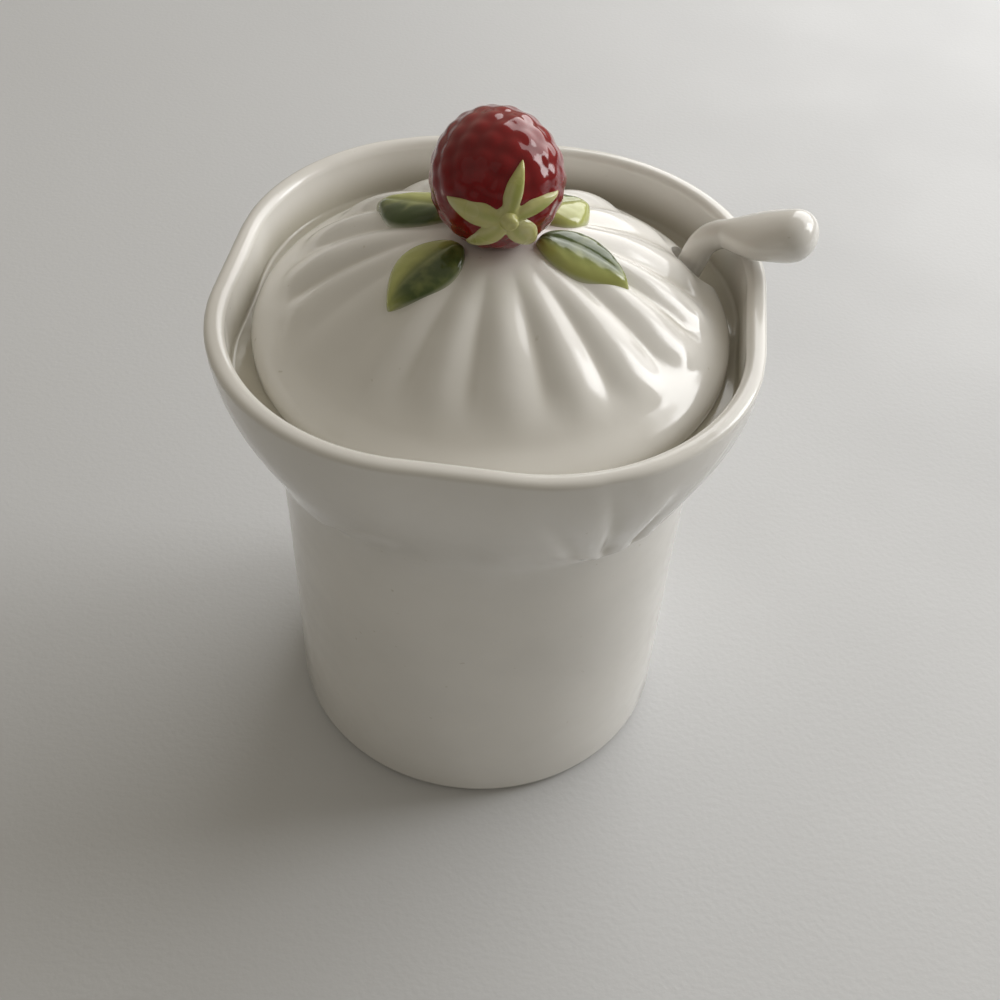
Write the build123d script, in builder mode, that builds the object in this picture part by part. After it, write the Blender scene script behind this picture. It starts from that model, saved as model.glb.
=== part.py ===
from build123d import *
import os
from math import asin, atan2, cos, hypot, pi, radians, sin, sqrt, tan

# A covered jam pot in glazed earthenware: a round pot whose mouth flares into a soft square,
# a gathered lid with a berry knob, and a spoon that stands in a notch of the lid.
# Millimetres. The origin is the middle of the foot on the table, +Z is up, and the four
# corners of the mouth lie at 45 degrees between the X and Y axes.

# The round body
body_radius = 36.0
body_wall = 4.0
floor_thickness = 4.5
floor_round = 6.0
foot_depth = 1.2
foot_width = 4.5
foot_round = 2.0

# The flared mouth, measured out from the body at its flat sides and at its corners
neck_z = 67.0
rim_z = 94.0
neck_proud_flat = 0.3
neck_proud_corner = 1.7
rim_flare_flat = 7.7
rim_flare_corner = 11.0
rim_wall = 3.2
rim_round = 1.4
flare_steps = 7

# The gallery inside the mouth that carries the lid
ledge_depth = 9.5
seat_width = 1.8
throat_height = 7.0

# The lid
lid_gap = 1.6
border_width = 2.6
border_height = 4.2
border_round = 1.8
dome_height = 15.7
lid_wall = 4.0
flange_gap = 0.8
flange_depth = 4.0
flange_wall = 3.0
flute_count = 18
flute_turn = 12.0
flute_height = 1.3
crown_radius = 9.0
dome_shares = (0, 0.06, 0.2, 0.4, 0.6, 0.8, 1)

# The berry knob, its calyx and its stalk
berry_radius = 10.2
berry_front = 10.0
berry_back = 12.6
berry_sink = 0.5
berry_flat = 1.4
berry_turn = -74.0
calyx_thickness = 0.9
calyx_heart = 2.4
sepal_reach = 8.4
sepal_width = 3.6
sepal_angles = (11, 68, 170, 228, 303)
stalk_radius = 1.7
stalk_length = 2.2

# The leaves round the knob: the way each points and its share of the full length
leaf_base = 6.5
leaf_length = 15.5
leaf_width = 10.5
leaf_thickness = 2.2
leaves = {
    "leaf_back_left": (153, 1.1),
    "leaf_front_left": (-130, 0.97),
    "leaf_front_right": (-12, 1.0),
    "leaf_back_right": (46, 0.84),
}

# The spoon and the notch that it stands in
spoon_angle = 29.5
spoon_gap = 0.3
shaft_radius = 2.4
shaft_top = 4.8
shaft_reach = 3.9
bend_height = 1.0
bend_radius = 6.0
handle_angle = -23.0
handle_rise = 20.0
handle_length = 19.1
handle_width = 10.4
handle_thickness = 8.2
spoon_bowl_length = 30.0
spoon_bowl_width = 21.0
spoon_bowl_depth = 6.0
spoon_bowl_wall = 2.2
notch_width = 11.4
notch_gap = 1.2

# The pull of the handles on a curve of a quarter circle
circle_pull = 4 / 3 * (sqrt(2) - 1)

# Levels and radii that follow from the sizes above
floor_z = foot_depth + floor_thickness
ledge_z = rim_z - ledge_depth
inner_radius = body_radius - body_wall
rim_flat = body_radius + rim_flare_flat
rim_corner = body_radius + rim_flare_corner
well_flat = rim_flat - rim_wall
well_corner = rim_corner - rim_wall
lid_radius = well_flat - lid_gap
throat_radius = lid_radius - seat_width
flange_radius = throat_radius - flange_gap
flange_inside = flange_radius - flange_wall
flange_z = ledge_z - flange_depth
border_z = ledge_z + border_height
dome_radius = lid_radius - border_width
dome_sphere = (dome_radius**2 + dome_height**2) / (2 * dome_height)
dome_centre_z = border_z + dome_height - dome_sphere
hollow_sphere = dome_sphere - lid_wall
hollow_z = dome_centre_z + hollow_sphere
spring_z = dome_centre_z + sqrt(hollow_sphere**2 - flange_inside**2)
crown_z = dome_centre_z + sqrt(dome_sphere**2 - crown_radius**2)
berry_z = crown_z + berry_radius - berry_sink


def flare(rise):
    """The reach of the mouth at its flats and at its corners, a share of the way up from the neck."""
    swell = sin(rise * pi / 2)
    flat = neck_proud_flat + (rim_flare_flat - neck_proud_flat) * swell
    corner = neck_proud_corner + (rim_flare_corner - neck_proud_corner) * swell
    return body_radius + flat, body_radius + corner


def corner_radius(flat, corner):
    """The radius of a soft square's corners from its reach at the flats and at the corners."""
    return (flat * sqrt(2) - corner) / (sqrt(2) - 1)


def soft_square(flat, corner):
    """Draw a square with round corners from its reach at the flats and at the corners."""
    return RectangleRounded(2 * flat, 2 * flat, corner_radius(flat, corner))


def finish(part, name):
    """Label a finished piece and write it."""
    part.label = name
    export_step(part, f"parts/{name}.step")


def gathered_ring(radius, wave):
    """Points round one level of the lid: round ridges of the cloth with sharp folds between."""
    count = 6 * flute_count
    turns = [2 * pi * i / count for i in range(count)]
    reach = [radius + wave * (abs(sin(flute_count * turn / 2)) - 0.5) for turn in turns]
    first = radians(flute_turn)
    return [(r * cos(first + turn), r * sin(first + turn)) for r, turn in zip(reach, turns)]


def berry_outline(swell):
    """The berry's half outline, grown by swell, hung below its axis, with a small flat at each end."""
    front = berry_front + swell
    back = berry_back + swell
    side = berry_radius + swell
    with BuildSketch(Plane(origin=(0, 0, berry_z), x_dir=berry_way, z_dir=berry_side)) as outline:
        with BuildLine():
            Bezier((front, berry_flat), (front, side * circle_pull), (front * circle_pull, side), (0, side))
            Bezier((0, side), (-back * circle_pull, side), (-back, side * circle_pull), (-back, berry_flat))
            Polyline((-back, berry_flat), (-back, 0), (front, 0), (front, berry_flat))
        make_face()
    return outline.sketch


def egg_outline(wall):
    """The half outline of the egg that the spoon's bowl is cut from, taken in by wall."""
    with BuildSketch(spoon_plane) as outline:
        with BuildLine():
            middle = (-egg_inset, spoon_bowl_length / 2)
            long_half = egg_half - wall
            EllipticalCenterArc(middle, egg_radius - wall, long_half, start_angle=90, arc_size=180)
            Line((-egg_inset, middle[1] - long_half), (-egg_inset, middle[1] + long_half))
        make_face()
    return outline.sketch


os.makedirs("parts", exist_ok=True)

# The pot: a straight round body whose mouth swells out into a soft square, with a ledge inside
with BuildPart() as pot_body:
    Cylinder(body_radius, neck_z + rim_wall, align=(Align.CENTER, Align.CENTER, Align.MIN))
    fillet(pot_body.edges().group_by(Axis.Z)[0], foot_round)
    for step in range(flare_steps + 1):
        rise = step / flare_steps
        with BuildSketch(Plane.XY.offset(neck_z + rise * (rim_z - neck_z))):
            soft_square(*flare(rise))
    loft()
    with BuildSketch(Plane.XZ):
        with BuildLine():
            floor_edge = (inner_radius - floor_round, floor_z)
            wall_foot = (inner_radius, floor_z + floor_round)
            RadiusArc(floor_edge, wall_foot, -floor_round)
            Polyline(
                wall_foot,
                (inner_radius, neck_z),
                (throat_radius, ledge_z - throat_height),
                (throat_radius, ledge_z),
                (0, ledge_z),
                (0, floor_z),
                floor_edge,
            )
        make_face()
    revolve(axis=Axis.Z, mode=Mode.SUBTRACT)
    with BuildSketch(Plane.XY.offset(ledge_z)):
        soft_square(well_flat, well_corner)
    extrude(amount=ledge_depth, mode=Mode.SUBTRACT)
    fillet(pot_body.faces().sort_by(Axis.Z)[-1].edges(), rim_round)
    with BuildSketch(Plane.XY):
        Circle(body_radius - foot_round - foot_width)
    extrude(amount=foot_depth, mode=Mode.SUBTRACT)
finish(pot_body.part, "pot_body")

# The lines of the spoon: its shaft leans past the edge of the ledge, out through the lid, and its
# handle rises over the rim
lean_reach = body_radius + shaft_reach - throat_radius
lean_rise = rim_z + shaft_top - ledge_z
spoon_lean = atan2(lean_reach, lean_rise) + asin((shaft_radius + spoon_gap) / hypot(lean_reach, lean_rise))
spoon_out = Vector(1, 0, 0).rotate(Axis.Z, spoon_angle)
shaft_way = spoon_out * sin(spoon_lean) + Vector(0, 0, cos(spoon_lean))
handle_way = Vector(1, 0, 0).rotate(Axis.Y, -handle_rise).rotate(Axis.Z, handle_angle)
hook_way = (handle_way - shaft_way * handle_way.dot(shaft_way)).normalized()
top_point = spoon_out * (body_radius + shaft_reach) + Vector(0, 0, rim_z + shaft_top)
bend_point = top_point - shaft_way * ((shaft_top - bend_height) / shaft_way.Z)
notch_point = top_point - shaft_way * (lean_rise / shaft_way.Z)
notch_side = Vector(0, 0, 1).cross(spoon_out)
handle_side = Vector(0, 0, 1).cross(handle_way)
notch_plane = Plane(origin=notch_point, x_dir=notch_side.cross(shaft_way), z_dir=shaft_way)

# The lid: a border that rests on the ledge, a locating flange and a gathered dome
with BuildPart() as lid:
    with Locations((0, 0, ledge_z)):
        Cylinder(lid_radius, border_height, align=(Align.CENTER, Align.CENTER, Align.MIN))
        fillet(lid.edges().group_by(Axis.Z)[-1], border_round)
        Cylinder(flange_radius, flange_depth, align=(Align.CENTER, Align.CENTER, Align.MAX))
    for share in dome_shares:
        radius = dome_radius + (crown_radius - dome_radius) * share
        wave = flute_height * sin(pi * share**0.7) * dome_sphere / radius
        with BuildSketch(Plane.XY.offset(dome_centre_z + sqrt(dome_sphere**2 - radius**2))):
            with BuildLine():
                Spline(gathered_ring(radius, wave), periodic=True)
            make_face()
    loft()
    with BuildSketch(Plane.XZ):
        with BuildLine():
            Polyline((0, hollow_z), (0, flange_z), (flange_inside, flange_z), (flange_inside, spring_z))
            RadiusArc((flange_inside, spring_z), (0, hollow_z), -hollow_sphere)
        make_face()
    revolve(axis=Axis.Z, mode=Mode.SUBTRACT)
    with BuildSketch(notch_plane):
        with Locations((notch_width / 2 - shaft_radius - notch_gap, 0)):
            Circle(notch_width / 2)
            Rectangle(lid_radius, notch_width, align=(Align.MIN, Align.CENTER))
    extrude(amount=dome_height + border_height, both=True, mode=Mode.SUBTRACT)
finish(lid.part, "lid")

# The berry: an egg on its side whose blunt end, with the calyx, faces the front
berry_way = Vector(1, 0, 0).rotate(Axis.Z, berry_turn)
berry_side = Vector(0, 0, 1).cross(berry_way)
berry_axis = Axis((0, 0, berry_z), berry_way)
calyx_plane = Plane(origin=(0, 0, berry_z), x_dir=berry_side, z_dir=berry_way)
with BuildPart() as berry:
    revolve(berry_outline(0), axis=berry_axis)
    split(bisect_by=Plane.XY.offset(crown_z))
finish(berry.part, "berry")

# The calyx: five pointed sepals that lie on the front of the berry
with BuildPart() as calyx:
    with BuildSketch(calyx_plane):
        Circle(calyx_heart)
        for angle in sepal_angles:
            with BuildLine():
                for side in (-1, 1):
                    shoulder = Vector(sepal_reach * 0.45, side * sepal_width / 2)
                    tip = Vector(sepal_reach, 0)
                    ThreePointArc((0, 0), shoulder.rotate(Axis.Z, angle), tip.rotate(Axis.Z, angle))
            make_face()
    extrude(amount=berry_front + berry_radius)
    revolve(berry_outline(calyx_thickness), axis=berry_axis, mode=Mode.INTERSECT)
    add(berry.part, mode=Mode.SUBTRACT)
finish(calyx.part, "calyx")

# The stalk: a short nub in the heart of the calyx
with BuildPart() as stalk:
    with BuildSketch(calyx_plane.offset(berry_front)):
        Circle(stalk_radius)
    extrude(amount=calyx_thickness + stalk_length, taper=8)
    fillet(stalk.faces().sort_by(berry_axis)[-1].edges(), stalk_radius / 2)
    add(calyx.part, mode=Mode.SUBTRACT)
    add(berry.part, mode=Mode.SUBTRACT)
finish(stalk.part, "stalk")

# The leaves: pointed plates that lie on the dome round the berry
for name, (angle, share) in leaves.items():
    length = leaf_length * share
    with BuildPart() as leaf:
        with BuildSketch(Plane(origin=(0, 0, border_z), x_dir=Vector(1, 0, 0).rotate(Axis.Z, angle))):
            with BuildLine():
                for side in (-1, 1):
                    shoulder = (leaf_base + length * 0.45, side * leaf_width / 2)
                    ThreePointArc((leaf_base, 0), shoulder, (leaf_base + length, 0))
            make_face()
        extrude(amount=dome_height + leaf_thickness)
        with Locations((0, 0, dome_centre_z)):
            Sphere(dome_sphere + leaf_thickness, mode=Mode.INTERSECT)
            Sphere(dome_sphere - lid_wall / 2, mode=Mode.SUBTRACT)
        for neighbour in (lid, berry, calyx):
            add(neighbour.part, mode=Mode.SUBTRACT)
    finish(leaf.part, name)

# The spoon's bowl is cut from an egg that lies along the shaft: the egg's half width, the way
# from the bowl's edge back to the egg's axis, the egg's half length and its lowest reach
egg_radius = (spoon_bowl_width**2 / (4 * spoon_bowl_depth) + spoon_bowl_depth) / 2
egg_inset = egg_radius - spoon_bowl_depth
egg_half = spoon_bowl_length * egg_radius / spoon_bowl_width
egg_drop = hypot(egg_half * cos(spoon_lean), egg_radius * sin(spoon_lean))
egg_rise = spoon_bowl_length / 2 * shaft_way.Z - egg_inset * hook_way.Z
shaft_length = (bend_point.Z - floor_z - spoon_gap - egg_drop + egg_rise) / shaft_way.Z
tip_point = bend_point - shaft_way * shaft_length
spoon_plane = Plane(origin=tip_point, x_dir=hook_way, z_dir=hook_way.cross(shaft_way))
egg_axis = Axis(tip_point - hook_way * egg_inset, shaft_way)
bend_turn = shaft_way.get_angle(handle_way)
bend_trim = bend_radius * tan(radians(bend_turn / 2))

# The round of the handle's end stays within the tightest curve of its oval
handle_round = 0.9 * min(handle_width, handle_thickness) ** 2 / max(handle_width, handle_thickness) / 2

# The spoon: an oval bowl, a slim shaft and a stout handle that rises over the rim
with BuildPart() as spoon:
    revolve(egg_outline(0), axis=egg_axis)
    revolve(egg_outline(spoon_bowl_wall), axis=egg_axis, mode=Mode.SUBTRACT)
    split(bisect_by=Plane(origin=tip_point, z_dir=hook_way), keep=Keep.TOP)
    with BuildLine(spoon_plane):
        shaft = Line((0, spoon_bowl_length), (0, shaft_length - bend_trim))
        bend = JernArc(shaft @ 1, shaft % 1, bend_radius, -bend_turn)
        handle = Line(bend @ 1, bend @ 1 + (bend % 1) * (handle_length - bend_trim))
    with BuildSketch(Plane(origin=shaft @ 0, x_dir=spoon_plane.z_dir, z_dir=shaft_way)):
        Circle(shaft_radius)
    extrude(amount=shaft.length)
    for share in (0, 1 / 3, 2 / 3, 1):
        with BuildSketch(Plane(origin=bend @ share, x_dir=spoon_plane.z_dir, z_dir=bend % share)):
            Circle(shaft_radius)
    loft()
    for share in (0, 1 / 4, 1 / 2, 3 / 4, 1):
        growth = sin(share * pi / 2)
        half_width = shaft_radius + (handle_width / 2 - shaft_radius) * growth
        half_thickness = shaft_radius + (handle_thickness / 2 - shaft_radius) * growth**2
        with BuildSketch(Plane(origin=handle @ share, x_dir=handle_side, z_dir=handle_way)):
            Ellipse(half_width, half_thickness)
    loft()
    fillet(spoon.faces().sort_by(Axis(handle @ 0, handle_way))[-1].edges(), handle_round)
    with Locations(shaft @ 0):
        Sphere(shaft_radius)
finish(spoon.part, "spoon")
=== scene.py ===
"""A glazed jam pot with a gathered lid, a berry knob and a spoon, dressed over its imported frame."""

import math

import bmesh
import bpy
from bpy.props import FloatProperty, FloatVectorProperty, IntProperty, PointerProperty
from mathutils import Matrix, Quaternion, Vector
from mathutils.geometry import interpolate_bezier
from mathutils.kdtree import KDTree


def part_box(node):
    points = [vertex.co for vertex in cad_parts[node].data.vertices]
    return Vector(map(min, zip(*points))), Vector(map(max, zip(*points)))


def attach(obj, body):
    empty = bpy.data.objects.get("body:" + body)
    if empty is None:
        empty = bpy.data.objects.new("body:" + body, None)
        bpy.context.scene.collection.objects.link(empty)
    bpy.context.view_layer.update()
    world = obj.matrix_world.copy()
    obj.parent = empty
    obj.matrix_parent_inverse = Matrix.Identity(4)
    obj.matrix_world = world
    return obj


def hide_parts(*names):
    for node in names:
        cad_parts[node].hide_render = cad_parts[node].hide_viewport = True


bl_info = {
    "name": "Jam Pot",
    "version": (1, 0, 0),
    "blender": (4, 5, 0),
    "location": "View3D > Sidebar > Jam Pot",
    "description": "Builds the glazed pieces of a jam pot over its packed frame",
    "category": "Add Mesh",
}

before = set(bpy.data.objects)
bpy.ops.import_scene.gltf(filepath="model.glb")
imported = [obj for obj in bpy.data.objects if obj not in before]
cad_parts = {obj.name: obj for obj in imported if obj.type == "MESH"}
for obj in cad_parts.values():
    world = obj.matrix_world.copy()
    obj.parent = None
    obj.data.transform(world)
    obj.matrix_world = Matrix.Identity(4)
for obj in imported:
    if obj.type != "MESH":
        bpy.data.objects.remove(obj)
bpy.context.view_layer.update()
pot_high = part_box("pot_body")[1]
lid_low, lid_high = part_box("lid")


def length(name, description, default):
    """A size in metres."""
    return FloatProperty(name=name, description=description, default=default, min=0, unit="LENGTH")


def turn(name, description, degrees):
    """An angle, given in degrees."""
    return FloatProperty(name=name, description=description, default=math.radians(degrees), subtype="ANGLE")


def colour(name, description, default):
    """A plain glaze colour."""
    return FloatVectorProperty(
        name=name, description=description, default=default, min=0, max=1, subtype="COLOR",
    )


def count(name, description, default, least):
    """A number of like features."""
    return IntProperty(name=name, description=description, default=default, min=least)


class JAMPOT_PG_pot(bpy.types.PropertyGroup):
    """Sizes of the pot."""

    body_radius: length("Body radius", "Outside of the round body", 0.036)
    body_wall: length("Body wall", "Thickness of the body's wall", 0.004)
    floor_z: length("Floor height", "Top of the inside floor", 0.0057)
    floor_round: length("Floor rounding", "Rounding inside at the floor", 0.006)
    foot_depth: length("Foot depth", "Depth of the recess under the foot", 0.0012)
    foot_inside: length("Foot inside", "Radius of the recess under the foot", 0.0295)
    foot_round: length("Foot rounding", "Rounding outside at the foot", 0.002)
    neck_z: length("Neck height", "Where the mouth starts to flare", 0.067)
    neck_flat: length("Neck step at flats", "How far the neck stands proud at the flat sides", 0.0003)
    neck_corner: length("Neck step at corners", "How far the neck stands proud at the corners", 0.0017)
    rim_z: length("Rim height", "Top of the rim", pot_high[2])
    rim_flat: length("Rim at flats", "Reach of the rim at the flat sides", pot_high[0])
    rim_corner: length("Rim at corners", "Reach of the rim at the corners", 0.047)
    rim_wall: length("Rim wall", "Thickness of the mouth at the rim", 0.0032)
    rim_round: length("Rim rounding", "Rounding of the rim's edges", 0.0014)
    ledge_z: length("Ledge height", "Where the lid rests", 0.0845)
    throat_radius: length("Throat radius", "Opening inside the ledge", 0.0371)
    throat_height: length("Throat height", "Straight part under the ledge", 0.007)
    pleat_pitch: turn("Pleat pitch", "Turn from one pleat to the next", 8)
    pleat_turn: turn("Pleat turn", "Turn of the pleats off the corner's middle", -0.5)
    pleat_reach: count("Pleats each side", "Pleats on each side of a corner's middle", 2, 0)
    pleat_depth: length("Pleat depth", "Depth of a pleat at the neck", 0.0009)


class JAMPOT_PG_lid(bpy.types.PropertyGroup):
    """Sizes of the lid."""

    radius: length("Radius", "Outside of the lid's border", -lid_low[0])
    border_width: length("Border width", "Width of the plain border", 0.0026)
    border_top: length("Border top", "Top of the border", 0.0887)
    dome_height: length("Dome height", "Rise of the dome above the border", 0.0157)
    wall: length("Wall", "Thickness of the dome", 0.004)
    flange_radius: length("Flange radius", "Outside of the locating flange", 0.0363)
    flange_inside: length("Flange inside", "Inside of the locating flange", 0.0333)
    flange_z: length("Flange foot", "Lowest edge of the flange", lid_low[2])
    gathers: count("Gathers", "Folds round the dome", 18, 3)
    gather_turn: turn("Gather turn", "Turn of the first fold", 12)
    gather_depth: length("Gather depth", "Depth of the folds", 0.0011)
    notch_width: length("Notch width", "Width of the notch for the spoon", 0.0114)
    notch_gap: length("Notch gap", "Room between the spoon's shaft and the end of the notch", 0.0012)


class JAMPOT_PG_fruit(bpy.types.PropertyGroup):
    """Sizes of the berry, its calyx and stalk, and the leaves."""

    radius: length("Berry radius", "Half width of the berry", 0.0102)
    front: length("Berry front", "Reach of the berry's blunt end", 0.0100)
    back: length("Berry back", "Reach of the berry's pointed end", 0.0126)
    sink: length("Berry sink", "How far the berry is pressed into the lid", 0.0005)
    facing: turn("Berry turn", "The way the blunt end faces", -74)
    bumps: count("Bumps", "Low bumps over the berry", 130, 8)
    bump_height: length("Bump height", "Height of the bumps", 0.00036)
    sepal_length: length("Sepal length", "Reach of a sepal from the stalk", 0.0084)
    sepal_width: length("Sepal width", "Full width of a broad sepal", 0.0042)
    sepal_thickness: length("Sepal thickness", "How far the calyx stands proud", 0.0009)
    stalk_radius: length("Stalk radius", "Half width of the stalk", 0.0017)
    stalk_length: length("Stalk length", "Length of the stalk past the calyx", 0.0022)
    leaf_base: length("Leaf base", "Where the leaves start, from the lid's middle", 0.0065)
    leaf_length: length("Leaf length", "Full length of a leaf", 0.0155)
    leaf_width: length("Leaf width", "Full width of a leaf", 0.0105)
    leaf_thickness: length("Leaf thickness", "How far a leaf stands proud of the lid", 0.0022)


class JAMPOT_PG_spoon(bpy.types.PropertyGroup):
    """Sizes of the spoon."""

    angle: turn("Spoon angle", "Where round the lid the spoon stands", 29.5)
    gap: length("Gap", "Room between the shaft and the ledge", 0.0003)
    shaft_radius: length("Shaft radius", "Half width of the shaft", 0.0024)
    shaft_reach: length("Shaft reach", "How far out from the body the shaft's line passes", 0.0039)
    shaft_top: length("Shaft top", "Height over the rim at which that reach is measured", 0.0048)
    bend_height: length("Bend height", "Height of the bend's corner over the rim", 0.001)
    bend: length("Bend", "Radius of the bend", 0.006)
    handle_angle: turn("Handle angle", "The way the handle points", -23)
    handle_rise: turn("Handle rise", "How steeply the handle rises", 20)
    handle_length: length("Handle length", "From the bend's corner to the end", 0.0191)
    handle_width: length("Handle width", "Full width of the handle", 0.0104)
    handle_thickness: length("Handle thickness", "Full thickness of the handle", 0.0082)
    bowl_length: length("Bowl length", "Length of the spoon's bowl", 0.030)
    bowl_width: length("Bowl width", "Width of the spoon's bowl", 0.021)
    bowl_depth: length("Bowl depth", "Depth of the spoon's bowl", 0.006)
    bowl_wall: length("Bowl wall", "Thickness of the spoon's bowl", 0.0022)


class JAMPOT_PG_glaze(bpy.types.PropertyGroup):
    """Colours of the glazes."""

    white: colour("White", "White glaze", (0.82, 0.805, 0.77))
    # White darkened as painted shade in the folds and at the ledge; the glaze's fine specks take it too
    white_fold: colour("White in folds", "White glaze where it pools in folds", (0.54, 0.51, 0.42))
    berry: colour("Berry", "Crimson glaze of the berry", (0.225, 0.005, 0.0075))
    # Darker crimson painted as shade in the creases between the bumps
    berry_crease: colour("Berry in creases", "Crimson glaze between the bumps", (0.16, 0.0035, 0.0055))
    sepal: colour("Sepal", "Pale green glaze of the calyx", (0.56, 0.55, 0.20))
    sepal_rib: colour("Sepal rib", "Green along the middle of a sepal", (0.36, 0.40, 0.08))
    leaf_light: colour("Leaf, light half", "Pale half of a leaf", (0.47, 0.50, 0.16))
    leaf_dark: colour("Leaf, dark half", "Deep half of a leaf", (0.07, 0.105, 0.028))


class JAMPOT_PG_settings(bpy.types.PropertyGroup):
    """All sizes and colours of the jam pot."""

    pot: PointerProperty(type=JAMPOT_PG_pot)
    lid: PointerProperty(type=JAMPOT_PG_lid)
    fruit: PointerProperty(type=JAMPOT_PG_fruit)
    spoon: PointerProperty(type=JAMPOT_PG_spoon)
    glaze: PointerProperty(type=JAMPOT_PG_glaze)


# Shapes that several pieces share


NECK_SOFT = 0.0022  # how softly the body runs into the flare
TOUCH = 1e-5  # closer than this counts as on a surface
UP = Vector((0, 0, 1))


def ease(low, high, value):
    """A soft step from 0 at low to 1 at high."""
    share = min(max((value - low) / (high - low), 0), 1)
    return share * share * (3 - 2 * share)


def soft_square(flat, corner, angle):
    """The reach of a soft square at an angle, from its reach at the flats and at the corners."""
    fold = abs((angle + math.pi / 4) % (math.pi / 2) - math.pi / 4)
    rounding = (flat * math.sqrt(2) - corner) / (math.sqrt(2) - 1)
    middle = flat - rounding
    if flat * math.tan(fold) <= middle:
        return flat / math.cos(fold)
    across = math.cos(fold) - math.sin(fold)
    return middle * (math.cos(fold) + math.sin(fold)) + math.sqrt(rounding**2 - (middle * across) ** 2)


def mouth(pot, z):
    """The reach of the mouth at its flats and at its corners at a height."""
    swell = math.sin(min(max((z - pot.neck_z) / (pot.rim_z - pot.neck_z), 0), 1) * math.pi / 2)
    low_flat = pot.body_radius + pot.neck_flat
    low_corner = pot.body_radius + pot.neck_corner
    return low_flat + (pot.rim_flat - low_flat) * swell, low_corner + (pot.rim_corner - low_corner) * swell


def wall(pot, z):
    """The outside of the pot at its flat sides: the body runs softly into the flare."""
    rise = (z - pot.neck_z) / (pot.rim_z - pot.neck_z)
    low = pot.body_radius + pot.neck_flat
    flare = mouth(pot, z)[0] if rise > 0 else low + (pot.rim_flat - low) * rise * math.pi / 2
    soft = NECK_SOFT * (1 - max(rise, 0))
    return (pot.body_radius + flare + math.hypot(flare - pot.body_radius, soft)) / 2


def dome(lid):
    """The radius and the middle height of the ball that the lid's dome is part of."""
    edge = lid.radius - lid.border_width
    ball = (edge**2 + lid.dome_height**2) / (2 * lid.dome_height)
    return ball, lid.border_top + lid.dome_height - ball


def berry_middle(settings):
    """The middle of the berry, the way it faces and its side."""
    fruit = settings.fruit
    way = Vector((math.cos(fruit.facing), math.sin(fruit.facing), 0))
    return Vector((0, 0, lid_high[2] + fruit.radius - fruit.sink)), way, UP.cross(way)


def spoon_lines(settings):
    """The spoon's lean, the ways it stands out and its shaft, handle and hook run, and its bend's corner."""
    pot, spoon = settings.pot, settings.spoon
    top = pot.body_radius + spoon.shaft_reach
    reach, rise = top - pot.throat_radius, pot.rim_z + spoon.shaft_top - pot.ledge_z
    lean = math.atan2(reach, rise) + math.asin((spoon.shaft_radius + spoon.gap) / math.hypot(reach, rise))
    out = Vector((math.cos(spoon.angle), math.sin(spoon.angle), 0))
    shaft = out * math.sin(lean) + Vector((0, 0, math.cos(lean)))
    handle = Vector((math.cos(spoon.handle_angle), math.sin(spoon.handle_angle), math.tan(spoon.handle_rise)))
    handle.normalize()
    hook = (handle - shaft * handle.dot(shaft)).normalized()
    corner = out * top + Vector((0, 0, pot.rim_z + spoon.shaft_top))
    corner -= shaft * ((spoon.shaft_top - spoon.bend_height) / shaft.z)
    return lean, out, shaft, handle, hook, corner


def axes(x, y, z, origin):
    """A matrix from three axes and an origin."""
    matrix = Matrix((x, y, z)).transposed().to_4x4()
    matrix.translation = origin
    return matrix


def oval(side, way, wide, thick):
    """Two axes of an oval ring round a way, wide on the level and thick upright, that start at a side."""
    level = UP.cross(way).normalized()
    upright = way.cross(level)
    return [
        level * (wide * start.dot(level)) + upright * (thick * start.dot(upright))
        for start in (side, way.cross(side))
    ]


def profile_edges(bm, points):
    """Join points of a half outline, given as radius and height, and return the vertices."""
    verts = [bm.verts.new((radius, 0, height)) for radius, height in points]
    for start, end in zip(verts, verts[1:]):
        bm.edges.new((start, end))
    return verts


def round_corners(bm, verts, radius, segments):
    """Round corners of an open outline."""
    bmesh.ops.bevel(
        bm, geom=verts, offset=radius, offset_type="OFFSET", segments=segments, profile=0.5,
        affect="VERTICES", material=-1,
    )


def turn_on_wheel(bm, steps):
    """Spin the half outline all the way round and close it."""
    bmesh.ops.spin(
        bm, geom=bm.verts[:] + bm.edges[:], axis=(0, 0, 1), cent=(0, 0, 0), angle=2 * math.pi,
        steps=steps, use_merge=True,
    )
    bmesh.ops.remove_doubles(bm, verts=bm.verts, dist=1e-6)
    bmesh.ops.recalc_face_normals(bm, faces=bm.faces)


def to_mesh(bm, name):
    """Turn the worked shape into a smooth mesh."""
    mesh = bpy.data.meshes.new(name)
    bm.to_mesh(mesh)
    bm.free()
    mesh.shade_smooth()
    return mesh


def cut_or_join(mesh, tool, operation):
    """Cut the tool from a mesh or join it on, and return the result."""
    objects = [bpy.data.objects.new("work", mesh), bpy.data.objects.new("tool", tool)]
    for item in objects:
        bpy.context.scene.collection.objects.link(item)
    boolean = objects[0].modifiers.new("cut", "BOOLEAN")
    boolean.operation, boolean.object, boolean.solver = operation, objects[1], "MANIFOLD"
    bpy.context.view_layer.update()
    result = bpy.data.meshes.new_from_object(objects[0].evaluated_get(bpy.context.evaluated_depsgraph_get()))
    for item in objects:
        bpy.data.objects.remove(item)
    return result


def place(name, mesh, material, body, slot):
    """Put a finished mesh in the scene in place of the node of the same name."""
    piece = bpy.data.objects.new(f"glazed_{name}", mesh)
    bpy.context.scene.collection.objects.link(piece)
    mesh.materials.clear()
    mesh.materials.append(material)
    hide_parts(name)
    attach(piece, body)


# Glazes


GLAZE_IOR = 1.56
BERRY_SHINE = 0.42


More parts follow.
